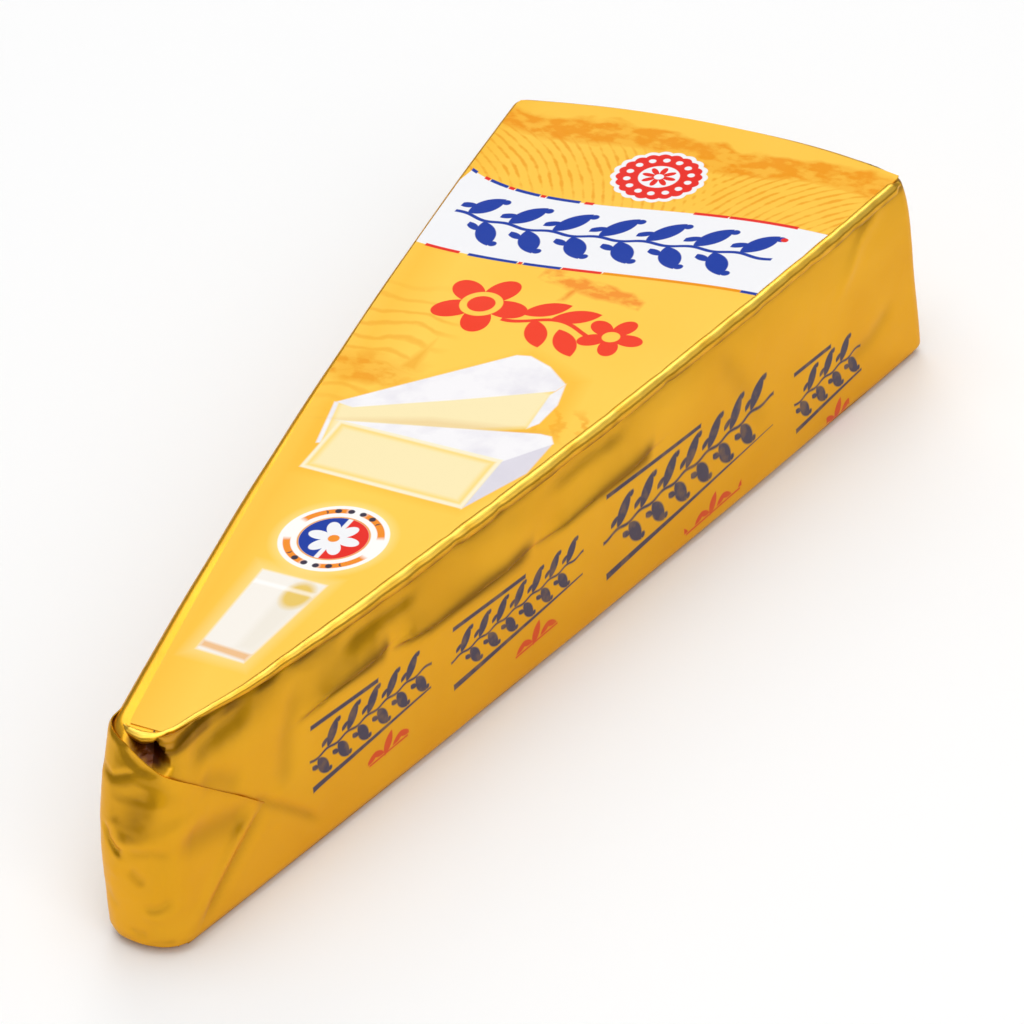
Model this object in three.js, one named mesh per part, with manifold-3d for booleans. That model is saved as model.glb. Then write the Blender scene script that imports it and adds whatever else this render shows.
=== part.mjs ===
// A wedge of soft cheese, cut from a flat round wheel and wrapped in gold foil.
//
// Frame: millimetres, +Z up. The wedge lies on its wrapped base at z = 0. Its blunt nose
// points to -Y and its curved rind end to +Y, and the origin is the middle of the base.
// Three pieces: the cheese, the foil folded round it, and the printed label on the top.

import * as THREE from 'three';
import { mergeVertices } from 'three/addons/utils/BufferGeometryUtils.js';
import Module from 'manifold-3d';

const wasm = await Module();
wasm.setup();

// ---- The wrapped wedge ----

const LENGTH = 169.6;       // along the base, nose to the middle of the rind end
const RIND_WIDTH = 68.8;    // across the base, between the two rind corners
const NOSE_WIDTH = 11.4;    // across the base, at the blunt nose
const HEIGHT = 29.8;        // flat top of the foil, above what the wedge lies on
const SIDE_LEAN = 1.4;      // how far each rind corner leans in, from base to top
const NOSE_LEAN = 5.8;      // how far the nose slopes back, most of it near the top
const NOSE_PINCH = 0.8;     // how much each nose corner draws in, in the same way
const NOSE_CURVE = 2.9;     // power of that slope: 1 is straight, more is a rounder shoulder
const SIDE_BOW_BASE = 1;    // how far each long side swells out of its chord, at the base
const SIDE_BOW_TOP = 2.2;   // the same at the top
const NOSE_BOW = 1.5;       // how far the blunt nose swells out
const RIND_BOW = 4;         // the same for the rind end, a short arc of the wheel
const NOSE_ROUND = 2.5;     // plan radius of the two nose corners
const RIND_ROUND = 3;       // plan radius of the two rind corners
const EDGE_ROUND = 1.2;     // soft edge of the foil round the base and the top

// ---- Wall, fit and folds of the foil ----

const FOIL_WALL = 0.3;      // foil, thicker than the real laminate so that it is a solid
const FIT_GAP = 0.3;        // clearance between pieces that touch on the real wedge
const SEAM_GAP = 0.5;       // open line on the underside, where the two long folds meet
const SEAM_MARGIN = 14;     // the seam stops this far short of the nose and the rind end
const ROLL_RADIUS = 1.05;   // rolled edge along one long side and round the nose
const ROLL_RISE = 0.5;      // how far the roll stands above the flat top
const ROLL_SET_IN = 0.85;   // the roll's centre line, inside the top outline

// ---- The label ----

const LABEL_THICKNESS = 0.2;
const LABEL_PLAIN_EDGE = 3;     // strip of bare foil beside the edge that has no roll
const LABEL_RIND_EDGE = 1.4;    // strip of bare foil at the rind end
const LABEL_NOSE_BOW = 0.4;     // the label's nose end is cut nearly straight
const LABEL_NOSE_ROUND = 0.3;

// ---- Fineness ----

const SIDE_STEPS = 12;
const CORNER_STEPS = 6;
const EDGE_STEPS = 3;
const WALL_STEPS = 7;
const ROLL_SIDES = 10;
const ROLL_STEPS = 60;

const FOIL_GOLD = 0xd9a021;
const LABEL_YELLOW = 0xfbd25f;
const CHEESE_CREAM = 0xf3e3b0;

/** The wedge's plan at a level from 0, the base, to 1, the top: its corners, bow and rounding. */
function wrapPanel(level) {
  const shoulder = level ** NOSE_CURVE;
  const halfRind = RIND_WIDTH / 2 - SIDE_LEAN * level;
  const halfNose = NOSE_WIDTH / 2 - NOSE_PINCH * shoulder;
  return {
    noseLeft: -halfNose,
    noseRight: halfNose,
    noseY: -LENGTH / 2 + NOSE_BOW + NOSE_LEAN * shoulder,
    rindLeft: -halfRind,
    rindRight: halfRind,
    rindY: LENGTH / 2 - RIND_BOW,
    noseBow: NOSE_BOW,
    sideBow: SIDE_BOW_BASE + (SIDE_BOW_TOP - SIDE_BOW_BASE) * level,
    noseRound: NOSE_ROUND,
  };
}

/** The label's plan: that of the top, kept clear of the roll and of the other edges. */
function labelPanel() {
  const top = wrapPanel(1);
  const rollMargin = ROLL_SET_IN + ROLL_RADIUS + FIT_GAP;
  return {
    noseLeft: top.noseLeft + LABEL_PLAIN_EDGE,
    noseRight: top.noseRight - rollMargin,
    noseY: top.noseY + rollMargin,
    rindLeft: top.rindLeft + LABEL_PLAIN_EDGE,
    rindRight: top.rindRight - rollMargin,
    rindY: top.rindY - LABEL_RIND_EDGE,
    noseBow: LABEL_NOSE_BOW,
    sideBow: SIDE_BOW_TOP,
    noseRound: LABEL_NOSE_ROUND,
  };
}

/** One side of the outline: a shallow curve that swells outwards from its chord. */
function bowedSide(from, to, bow) {
  const along = to.clone().sub(from).normalize();
  const outward = new THREE.Vector2(along.y, -along.x);
  const control = from.clone().add(to).multiplyScalar(0.5).addScaledVector(outward, 2 * bow);
  return new THREE.QuadraticBezierCurve(from, control, to);
}

/** Points round a plan, anticlockwise from above, with bowed sides and round corners. */
function outlinePoints(panel) {
  const corners = [
    new THREE.Vector2(panel.noseLeft, panel.noseY),
    new THREE.Vector2(panel.noseRight, panel.noseY),
    new THREE.Vector2(panel.rindRight, panel.rindY),
    new THREE.Vector2(panel.rindLeft, panel.rindY),
  ];
  const bows = [panel.noseBow, panel.sideBow, RIND_BOW, panel.sideBow];
  const rounds = [panel.noseRound, panel.noseRound, RIND_ROUND, RIND_ROUND];
  const sides = corners.map((corner, i) => {
    const next = (i + 1) % corners.length;
    const curve = bowedSide(corner, corners[next], bows[i]);
    const chord = corner.distanceTo(corners[next]);
    const first = rounds[i] / chord;
    const last = 1 - rounds[next] / chord;
    const steps = Array.from({ length: SIDE_STEPS + 1 }, (_, k) => k / SIDE_STEPS);
    return steps.map((s) => curve.getPoint(first + (last - first) * s));
  });
  return sides.flatMap((side, i) => {
    const before = sides[(i + sides.length - 1) % sides.length];
    const bend = new THREE.QuadraticBezierCurve(before.at(-1), corners[i], side[0]);
    return [...bend.getPoints(CORNER_STEPS).slice(1, -1), ...side];
  });
}

/** The same outline moved inwards all round. */
function insetPoints(points, distance) {
  return points.map((point, i) => {
    const before = points.at(i - 1);
    const after = points[(i + 1) % points.length];
    const along = after.clone().sub(before).normalize();
    return new THREE.Vector2(point.x - along.y * distance, point.y + along.x * distance);
  });
}

/** Closed body through rings of points, [{ points, z }] from the bottom up, with fanned lids. */
function loft(rings) {
  const count = rings[0].points.length;
  const position = rings.flatMap(({ points, z }) => points.flatMap((p) => [p.x, p.y, z]));
  const bottomCentre = rings.length * count;
  const topCentre = bottomCentre + 1;
  [rings[0], rings.at(-1)].forEach(({ points, z }) => {
    const centre = new THREE.Vector2();
    points.forEach((p) => centre.addScaledVector(p, 1 / count));
    position.push(centre.x, centre.y, z);
  });
  const lastRing = (rings.length - 1) * count;
  const index = [];
  for (let i = 0; i < count; i += 1) {
    const next = (i + 1) % count;
    index.push(bottomCentre, next, i);
    index.push(topCentre, lastRing + i, lastRing + next);
    for (let ring = 0; ring < lastRing; ring += count) {
      index.push(ring + i, ring + next, ring + next + count);
      index.push(ring + i, ring + next + count, ring + i + count);
    }
  }
  const geometry = new THREE.BufferGeometry();
  geometry.setAttribute('position', new THREE.Float32BufferAttribute(position, 3));
  geometry.setIndex(index);
  return geometry;
}

/** The wedge's body, a given depth inside the foil's outer face, with soft edges. */
function wedgeBody(depth) {
  const edge = Math.max(EDGE_ROUND - depth, EDGE_ROUND / 4);
  const turns = Array.from({ length: EDGE_STEPS + 1 }, (_, k) => (k / EDGE_STEPS) * Math.PI / 2);
  const steps = turns.map((turn) => ({
    rise: depth + edge * (1 - Math.cos(turn)),
    pull: depth + edge * (1 - Math.sin(turn)),
  }));
  const low = depth + edge;
  const wall = Array.from({ length: WALL_STEPS - 1 }, (_, k) => (k + 1) / WALL_STEPS);
  const profile = [
    ...steps.map(({ rise, pull }) => ({ z: rise, pull })),
    ...wall.map((share) => ({ z: low + (HEIGHT - 2 * low) * share, pull: depth })),
    ...steps.map(({ rise, pull }) => ({ z: HEIGHT - rise, pull })).reverse(),
  ];
  return loft(profile.map(({ z, pull }) => {
    const plan = outlinePoints(wrapPanel(z / HEIGHT));
    return { points: insetPoints(plan, pull), z };
  }));
}

/** The rolled edge: up one long side of the top, and hooked round the nose. */
function rolledEdge() {
  const ring = insetPoints(outlinePoints(wrapPanel(1)), ROLL_SET_IN);
  const noseStart = CORNER_STEPS - 1;
  const sideEnd = 2 * (SIDE_STEPS + CORNER_STEPS);
  const route = ring.slice(noseStart, sideEnd);
  const z = HEIGHT + ROLL_RISE - ROLL_RADIUS;
  const path = new THREE.CatmullRomCurve3(route.map((p) => new THREE.Vector3(p.x, p.y, z)));
  const section = new THREE.Shape().absarc(0, 0, ROLL_RADIUS, 0, 2 * Math.PI);
  return new THREE.ExtrudeGeometry(section, {
    extrudePath: path,
    steps: ROLL_STEPS,
    curveSegments: ROLL_SIDES,
  });
}

/** The open line where the two long folds of the sheet meet on the underside. */
function seamCut() {
  return new THREE.BoxGeometry(SEAM_GAP, LENGTH - 2 * SEAM_MARGIN, 2 * (FOIL_WALL + FIT_GAP));
}

/** A closed mesh as a solid that can be joined and cut. */
function toSolid(geometry) {
  const plain = geometry.clone();
  plain.deleteAttribute('normal');
  plain.deleteAttribute('uv');
  const merged = mergeVertices(plain);
  return new wasm.Manifold(new wasm.Mesh({
    numProp: 3,
    vertProperties: merged.attributes.position.array,
    triVerts: new Uint32Array(merged.index.array),
  }));
}

/** A solid's triangles as a three.js geometry. */
function toGeometry(solid) {
  const { vertProperties, triVerts } = solid.getMesh();
  const geometry = new THREE.BufferGeometry();
  geometry.setAttribute('position', new THREE.Float32BufferAttribute(vertProperties, 3));
  geometry.setIndex(Array.from(triVerts));
  return geometry;
}

/** One named piece, with its colour and finish. */
function namedMesh(name, geometry, color, roughness, metalness) {
  geometry.computeVertexNormals();
  const material = new THREE.MeshStandardMaterial({ color, roughness, metalness });
  const mesh = new THREE.Mesh(geometry, material);
  mesh.name = name;
  return mesh;
}

/** The cheese itself, one solid with its rind, close inside the foil. */
function cheeseWedge() {
  return namedMesh('cheese_wedge', wedgeBody(FOIL_WALL + FIT_GAP), CHEESE_CREAM, 0.7, 0);
}

/** The foil: a thin shell round the cheese, its rolled edge, and its seam left open below. */
function foilWrapper() {
  const shell = toSolid(wedgeBody(0)).add(toSolid(rolledEdge()));
  const open = shell.subtract(toSolid(wedgeBody(FOIL_WALL))).subtract(toSolid(seamCut()));
  return namedMesh('foil_wrapper', toGeometry(open), FOIL_GOLD, 0.35, 0.9);
}

/** The printed label, a thin sheet that follows the outline of the top. */
function topLabel() {
  const points = outlinePoints(labelPanel());
  const low = HEIGHT + FIT_GAP;
  const sheet = loft([{ points, z: low }, { points, z: low + LABEL_THICKNESS }]);
  return namedMesh('top_label', sheet, LABEL_YELLOW, 0.4, 0);
}

const wedge = new THREE.Group();
wedge.add(cheeseWedge(), foilWrapper(), topLabel());

export default wedge;
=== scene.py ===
# %% [markdown]
# # A wedge of soft cheese in gold foil
# This part is one prepacked portion of a soft cheese: a long wedge cut from a flat round wheel,
# folded into a sheet of gold foil, with a printed label lying on its top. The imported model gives
# the frame: where the wedge lies, how long and wide it is, and which pieces it has. Blender makes
# what the frame leaves plain: the folds and creases of the foil, its rolled edge, the little open
# pocket at the nose, the overlapping flaps underneath, and the print.

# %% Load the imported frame
import math

import bpy
import numpy as np
from mathutils import Matrix, Vector, noise


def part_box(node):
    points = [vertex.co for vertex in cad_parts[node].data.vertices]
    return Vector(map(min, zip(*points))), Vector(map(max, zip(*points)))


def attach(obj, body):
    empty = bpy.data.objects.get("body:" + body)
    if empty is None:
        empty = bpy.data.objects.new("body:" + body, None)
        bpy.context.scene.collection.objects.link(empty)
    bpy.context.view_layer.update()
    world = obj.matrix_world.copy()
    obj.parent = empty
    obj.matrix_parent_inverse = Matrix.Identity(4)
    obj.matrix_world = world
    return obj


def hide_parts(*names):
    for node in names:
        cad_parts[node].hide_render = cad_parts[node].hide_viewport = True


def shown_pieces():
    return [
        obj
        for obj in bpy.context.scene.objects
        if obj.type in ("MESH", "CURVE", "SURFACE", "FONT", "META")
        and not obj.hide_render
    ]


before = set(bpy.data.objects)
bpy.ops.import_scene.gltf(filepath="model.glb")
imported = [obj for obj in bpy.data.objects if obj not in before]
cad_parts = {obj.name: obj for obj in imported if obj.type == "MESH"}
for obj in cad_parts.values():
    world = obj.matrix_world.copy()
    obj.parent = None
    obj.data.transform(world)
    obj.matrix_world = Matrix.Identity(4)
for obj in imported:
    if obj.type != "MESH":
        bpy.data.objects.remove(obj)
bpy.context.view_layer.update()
MM = 0.001
print("pieces in the frame:", sorted(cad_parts))

# %% [markdown]
# ## The wedge's outline
# Every piece of the wrapper follows the same outline, so it is written once. A wedge of this
# cheese has two long sides, a short blunt nose and a rind end that is an arc of the wheel. The
# foil lets all four sides swell a little. The corners are rounded by a bend between two sides.
# The nose slopes back near its top, like a shoulder, so the outline depends on the level.

# %% The wedge's sizes, in millimetres
foil_low, foil_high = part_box("foil_wrapper")
CORNER_ALLOWANCE = 0.9
LENGTH = (foil_high.y - foil_low.y) / MM
RIND_WIDTH = (foil_high.x - foil_low.x) / MM + CORNER_ALLOWANCE
ROLL_RISE = 0.5
HEIGHT = foil_high.z / MM - ROLL_RISE
NOSE_WIDTH = 11.4
SIDE_LEAN = 1.4
NOSE_LEAN = 5.8
NOSE_PINCH = 0.8
NOSE_CURVE = 2.9
SIDE_BOW = (1.0, 2.2)
NOSE_BOW = 1.5
RIND_BOW = 4.0
CORNER_ROUND = (2.5, 2.5, 2.2, 2.2)
SIDE_COLUMNS = (26, 300, 120, 170)
CORNER_COLUMNS = 5
COLUMNS = sum(SIDE_COLUMNS) + 4 * CORNER_COLUMNS
print(f"wedge {LENGTH:.1f} x {RIND_WIDTH:.1f} x {HEIGHT:.1f} mm, {COLUMNS} columns round it")


# %% Draw the outline at any level
def bent(start, control, end, shares):
    """Points of a smooth bend from start to end, pulled towards control."""
    t = np.asarray(shares)[:, None]
    return (1 - t) ** 2 * start + 2 * t * (1 - t) * control + t ** 2 * end


def outline(level):
    """Points round the wedge at a level from 0, the base, to 1, the top, from the nose's left corner."""
    shoulder = level ** NOSE_CURVE
    half_rind = RIND_WIDTH / 2 - SIDE_LEAN * level
    half_nose = NOSE_WIDTH / 2 - NOSE_PINCH * shoulder
    nose_y = -LENGTH / 2 + NOSE_BOW + NOSE_LEAN * shoulder
    rind_y = LENGTH / 2 - RIND_BOW
    corners = np.array([(-half_nose, nose_y), (half_nose, nose_y), (half_rind, rind_y), (-half_rind, rind_y)])
    side_bow = SIDE_BOW[0] + (SIDE_BOW[1] - SIDE_BOW[0]) * level
    bows = (NOSE_BOW, side_bow, RIND_BOW, side_bow)
    sides = []
    for i, bow in enumerate(bows):
        start, end = corners[i], corners[(i + 1) % 4]
        chord = np.linalg.norm(end - start)
        along = (end - start) / chord
        control = (start + end) / 2 + 2 * bow * np.array((along[1], -along[0]))
        first, last = CORNER_ROUND[i] / chord, 1 - CORNER_ROUND[(i + 1) % 4] / chord
        sides.append(bent(start, control, end, np.linspace(first, last, SIDE_COLUMNS[i])))
    shares = np.linspace(0, 1, CORNER_COLUMNS + 2)[1:-1]
    points = []
    for i, side in enumerate(sides):
        points += [bent(sides[i - 1][-1], corners[i], side[0], shares), side]
    return np.vstack(points)


def outwards(points):
    """The direction straight out of a closed outline at each of its points."""
    along = np.roll(points, -1, axis=0) - np.roll(points, 1, axis=0)
    along /= np.linalg.norm(along, axis=1)[:, None]
    return np.column_stack((along[:, 1], -along[:, 0]))


def way_round(points):
    """How far each point is round the wall from the middle of the nose, left of it below zero."""
    steps = np.linalg.norm(np.roll(points, -1, axis=0) - points, axis=1)
    travelled = np.concatenate(((0,), np.cumsum(steps)[:-1]))
    travelled -= travelled[CORNER_COLUMNS + SIDE_COLUMNS[0] // 2]
    girth = steps.sum()
    return np.where(travelled > girth / 2, travelled - girth, travelled), girth


_, girth = way_round(outline(0))
RIND_MIDDLE = girth / 2
print(f"the wall is {girth:.0f} mm round")

# %% [markdown]
# ## Creases in the foil
# Foil keeps every fold that was ever pressed into it. The wall is thought of as a flat strip,
# unrolled from the middle of the nose, so a crease is a line drawn on that strip: how far round,
# and how high. A "dent" sinks along its line, a "ridge" stands along it, and a "tuck" has the
# foil above its line lying over the foil below it, which leaves a small step. Modifiers could
# add general dents, but not folds in chosen places, so these are vertex moves worked out in code.

# %% Every fold: its kind, depth, reach to each side, and its line on the unrolled wall
NOSE_CREASES = [
    ("dent", 0.20, 0.4, [(-6.8, 24.9), (-4.2, 25.2), (-2.6, 25.0), (-1.2, 25.6), (1.3, 26.6)]),
    ("ridge", 0.10, 0.8, [(-6.5, 24.0), (-2.8, 23.7), (0.8, 24.6)]),
    ("dent", 0.34, 2.0, [(1.5, 24.6), (0.7, 20.5), (-0.4, 16.6)]),
    ("ridge", 0.30, 1.7, [(4.4, 24.0), (2.4, 20.0), (-0.2, 15.8)]),
    ("dent", 0.36, 0.5, [(-4.2, 18.4), (-3.3, 16.6), (-2.0, 15.4), (-0.9, 15.2)]),
    ("dent", 0.20, 0.7, [(-0.3, 15.6), (3.1, 16.1), (5.4, 15.3)]),
    ("dent", 0.42, 2.0, [(6.4, 15.8), (13.0, 15.0), (19.6, 13.7)]),
    ("ridge", 0.26, 1.8, [(0.0, 16.4), (5.0, 18.2), (12.0, 18.4)]),
    ("ridge", 0.18, 1.0, [(-1.2, 14.8), (-2.8, 11.0)]),
    ("ridge", 0.18, 0.9, [(-0.8, 15.9), (-2.6, 19.8)]),
    ("dent", 0.24, 0.8, [(-0.2, 13.1), (0.9, 12.1), (2.0, 11.1)]),
    ("dent", 0.18, 0.6, [(1.4, 7.7), (2.6, 7.4), (3.9, 8.0), (5.2, 8.9)]),
    ("ridge", 0.18, 0.9, [(1.0, 6.3), (3.6, 6.0), (6.4, 7.8)]),
    ("dent", 0.24, 0.45, [(-1.2, 3.4), (0.2, 2.9), (1.5, 3.1)]),
    ("dent", 0.22, 0.4, [(1.2, 1.7), (3.2, 1.7), (5.2, 2.3)]),
    ("ridge", 0.34, 1.2, [(6.2, 2.4), (9.6, 5.2), (12.4, 7.8), (16.6, 11.4), (20.6, 13.5)]),
    ("dent", 0.42, 1.2, [(9.6, 2.6), (12.6, 5.0), (15.4, 7.4), (19.6, 10.8), (22.4, 13.2)]),
    ("dent", 0.12, 0.9, [(-4.8, 8.5), (-2.6, 6.0)]),
]
SIDE_CREASES = [
    ("tuck", 0.85, 2.4, [(29.5, 20.8), (34.8, 21.7), (38.8, 21.7), (42.7, 21.8), (46.3, 22.2)]),
    ("tuck", 0.95, 2.4, [(48.0, 21.2), (51.0, 20.8), (55.5, 20.2), (62.0, 20.3), (69.7, 20.1), (76.6, 20.5)]),
    ("tuck", 0.80, 2.2, [(77.6, 20.2), (84.0, 20.0), (91.2, 20.4), (97.9, 20.4), (103.5, 20.8)]),
    ("dent", 0.30, 1.2, [(36.0, 26.4), (44.0, 26.8), (52.0, 26.3)]),
    ("dent", 0.30, 1.2, [(78.0, 26.6), (88.0, 27.0), (96.0, 26.4)]),
    ("dent", 0.40, 0.75, [(20.4, 14.8), (22.6, 13.0), (26.1, 10.0), (29.8, 6.6), (32.4, 3.8)]),
    ("ridge", 0.22, 1.4, [(23.4, 14.8), (28.4, 10.2), (34.0, 4.6)]),
    ("dent", 0.3, 2.0, [(28.5, 26.5), (27.0, 20.0), (26.5, 13.0)]),
    ("dent", 0.35, 1.8, [(8.0, 26.6), (13.0, 27.0), (20.0, 27.4)]),
    ("dent", 0.3, 1.6, [(10.5, 22.6), (14.5, 20.8), (18.5, 18.0)]),
    ("ridge", 0.25, 1.4, [(160.0, 29.0), (154.0, 26.0), (149.0, 20.0)]),
    ("dent", 0.25, 1.6, [(164.5, 12.0), (158.0, 9.0), (152.0, 8.2)]),
    ("dent", 0.2, 2.2, [(118.0, 27.0), (126.0, 18.0), (131.0, 10.0)]),
    ("ridge", 0.2, 2.4, [(62.0, 28.5), (69.0, 24.0), (80.0, 23.0)]),
]
RIND_CREASES = [
    ("tuck", 0.9, 5.0, [(RIND_MIDDLE + 12, 3.5), (RIND_MIDDLE - 8, 14.5), (RIND_MIDDLE - 32, 28.3)]),
    ("tuck", 0.7, 5.0, [(RIND_MIDDLE + 32, 28.3), (RIND_MIDDLE + 10, 15.0), (RIND_MIDDLE - 4, 8.0)]),
    ("dent", 0.3, 1.6, [(RIND_MIDDLE - 20, 18.0), (RIND_MIDDLE - 10, 12.0), (RIND_MIDDLE - 5, 6.0)]),
    ("ridge", 0.25, 1.4, [(RIND_MIDDLE + 22, 17.0), (RIND_MIDDLE + 14, 11.0), (RIND_MIDDLE + 9, 5.0)]),
    ("dent", 0.3, 1.2, [(RIND_MIDDLE - 6, 27.0), (RIND_MIDDLE + 5, 21.0)]),
    ("ridge", 0.2, 1.2, [(RIND_MIDDLE + 2, 28.0), (RIND_MIDDLE - 3, 20.5)]),
]
LEFT_CREASES = [
    ("tuck", 0.5, 3.0, [(-118.0, 23.4), (-90.0, 22.4), (-62.0, 23.0)]),
    ("dent", 0.3, 1.6, [(-9.0, 26.0), (-16.0, 19.0), (-27.0, 15.5)]),
    ("ridge", 0.3, 1.4, [(-10.0, 5.0), (-18.0, 10.0), (-24.0, 16.0)]),
    ("dent", 0.3, 1.6, [(-158.0, 6.0), (-150.0, 14.0), (-147.0, 22.0)]),
    ("ridge", 0.25, 2.0, [(-40.0, 4.0), (-52.0, 9.0), (-70.0, 10.5)]),
]
CREASES = NOSE_CREASES + SIDE_CREASES + RIND_CREASES + LEFT_CREASES
print(f"{len(CREASES)} creases are pressed into the wall")

# %% [markdown]
# The nose has a fold of its own. The sheet comes round the nose from the left and lies over the
# right side as a flap with a free edge. Above that edge, under the rolled edge of the top, the
# foil is pushed in and leaves a small pocket, made dark by painted shade as well as by its depth.

# %% The flap's free edge, the pocket above it, and the general unevenness
FLAP_TIP = (22.0, 13.5)
FLAP_EDGE = [(-10.0, 29.6), (-3.2, 29.6), (-1.9, 29.5), (-0.7, 29.1), (1.3, 28.0), (2.6, 27.2), (3.6, 26.5),
             (5.8, 25.2), (9.3, 22.9), (12.5, 20.7), (16.2, 18.1), (18.7, 16.2), FLAP_TIP]
FLAP_FOLD = [(7.5, 1.2), (10.8, 4.6), (13.6, 7.2), (16.0, 9.0), (18.0, 10.8), (20.4, 12.5), FLAP_TIP]
POCKET = dict(middle=(1.2, 28.3), half_width=3.3, half_height=2.0, slant=-0.34, depth=3.0)
TUCK_SOFTNESS = 0.3
GENTLE, CRUMPLED = 0.16, 0.05
SHOULDER_START, SHOULDER_DEPTH = 21.5, 1.15
ROLL_SIDE_END = 171


def near_line(u, z, line):
    """Distance of each wall point from a line, its side (1 above), and how far along it is, 0 to 1."""
    if max(place[0] for place in line) > girth / 2:
        u = np.where(u < 0, u + girth, u)
    distance = np.full(np.shape(u), 1e9)
    side, share = np.ones_like(distance), np.zeros_like(distance)
    for i, ((u0, z0), (u1, z1)) in enumerate(zip(line, line[1:])):
        du, dz = u1 - u0, z1 - z0
        t = np.clip(((u - u0) * du + (z - z0) * dz) / (du * du + dz * dz), 0, 1)
        away_u, away_z = u - u0 - t * du, z - z0 - t * dz
        away = np.hypot(away_u, away_z)
        closer = away < distance
        distance = np.where(closer, away, distance)
        side = np.where(closer, np.sign(du * away_z - dz * away_u), side)
        share = np.where(closer, (i + t) / (len(line) - 1), share)
    return distance, side, share


def crease_height(u, z):
    """How far every crease together moves each wall point outwards, in millimetres."""
    total = np.zeros(np.shape(u))
    for kind, depth, reach, line in CREASES:
        distance, side, share = near_line(u, z, line)
        fade = np.clip(4.5 * np.minimum(share, 1 - share) + 0.12, 0, 1)
        if kind == "tuck":
            signed = distance * side * np.sign(line[-1][0] - line[0][0])
            lapped = np.exp(-(distance / reach) ** 1.5)
            tucked = -0.45 * np.exp(-(distance / (0.35 * reach)) ** 2)
            step = np.clip(0.5 + signed / (TUCK_SOFTNESS * reach), 0, 1)
            total += depth * fade * (tucked + (lapped - tucked) * step)
        else:
            bump = np.exp(-(distance / reach) ** 2)
            total += (1 if kind == "ridge" else -1) * depth * fade * bump
    return total


def pocket_depth(u, z):
    """How far the foil is pushed in above the flap's free edge."""
    across = (u - POCKET["middle"][0]) / POCKET["half_width"]
    upright = z - POCKET["middle"][1] - POCKET["slant"] * (u - POCKET["middle"][0])
    distance = np.hypot(across, upright / POCKET["half_height"])
    inside = np.clip(1.25 - distance ** 2, 0, 1)
    return POCKET["depth"] * inside ** 2 * (3 - 2 * inside)


def soft_shoulder(u, z):
    """How far the long side that carries the roll leans in towards the roll, in a soft curve."""
    near_roll = np.clip((z - SHOULDER_START) / (HEIGHT - SHOULDER_START), 0, 1)
    on_that_side = np.clip((u - 5) / 8, 0, 1) * np.clip((ROLL_SIDE_END - u) / 6, 0, 1)
    return SHOULDER_DEPTH * near_roll ** 2 * on_that_side


def uneven(u, z):
    """The gentle unevenness of a foil panel, with more crumpling close to the nose."""
    turn, radius = 2 * math.pi * u / girth, girth / (2 * math.pi)
    spots = [Vector(spot) for spot in zip(radius * np.cos(turn), radius * np.sin(turn), z * 2)]
    soft = np.array([noise.noise(spot / 19) for spot in spots])
    crushed = np.array([noise.ridged_multi_fractal(spot / 7, 0.9, 2.1, 3, 0.9, 2.0) for spot in spots])
    close = np.clip(1.2 - np.abs(u + 1) / 17, 0.18, 1)
    return GENTLE * soft + CRUMPLED * close * (crushed - 1.0) - soft_shoulder(u, z)


print("the pocket goes in by", POCKET["depth"], "mm")

# %% [markdown]
# ## The foil wall, top and base
# The foil is one sheet, thinner than a hair, so the piece is a closed surface with a real wall
# thickness. A circle is extruded upwards ring by ring until it has as many rings as the wrapper
# needs. Each vertex then takes its place from its column and its ring: first across the base
# from the seam, then round the soft lower edge, up the wall, and in over the top. A Solidify
# modifier gives the sheet its thickness inwards. This keeps an even grid, which shows creases
# well, where a bevelled box would give long thin faces.

# %% Helpers for starting and finishing a piece
def start_only():
    """Leave nothing selected, so that an operator acts on the next piece alone."""
    if bpy.context.object and bpy.context.object.mode != "OBJECT":
        bpy.ops.object.mode_set(mode="OBJECT")
    bpy.ops.object.select_all(action="DESELECT")


def extruded_rings(name, columns, rings):
    """A tube of unit rings, one above another, and each vertex's column and ring number."""
    start_only()
    bpy.ops.mesh.primitive_circle_add(vertices=columns, radius=1, fill_type="NOTHING")
    piece = bpy.context.object
    piece.name = piece.data.name = name
    bpy.ops.object.mode_set(mode="EDIT")
    bpy.ops.mesh.select_all(action="SELECT")
    for _ in range(rings - 1):
        bpy.ops.mesh.extrude_region_move(TRANSFORM_OT_translate={"value": (0, 0, 1)})
    bpy.ops.object.mode_set(mode="OBJECT")
    places = np.array([v.co for v in piece.data.vertices])
    turn = np.arctan2(places[:, 1], places[:, 0]) / (2 * math.pi)
    return piece, np.round(turn * columns).astype(int) % columns, np.round(places[:, 2]).astype(int)


def flat_grid(name, columns, rows):
    """A flat sheet of faces, and each vertex's share from left to right and from bottom to top."""
    start_only()
    bpy.ops.mesh.primitive_grid_add(x_subdivisions=columns, y_subdivisions=rows, size=1)
    piece = bpy.context.object
    piece.name = piece.data.name = name
    places = np.array([v.co for v in piece.data.vertices])
    return piece, places[:, 0] + 0.5, places[:, 1] + 0.5


def put(piece, points):
    """Move a piece's vertices to their places, given in millimetres."""
    piece.data.vertices.foreach_set("co", (np.asarray(points) * MM).astype(np.float32).ravel())
    piece.data.update()


def close_ring(piece, ring_of_vertex, ring):
    """Close one open end of a tube with a face."""
    for vertex, number in zip(piece.data.vertices, ring_of_vertex):
        vertex.select = bool(number == ring)
    for edge in piece.data.edges:
        edge.select = all(ring_of_vertex[i] == ring for i in edge.vertices)
    for face in piece.data.polygons:
        face.select = False
    bpy.ops.object.mode_set(mode="EDIT")
    bpy.ops.mesh.edge_face_add()
    bpy.ops.object.mode_set(mode="OBJECT")


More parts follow.
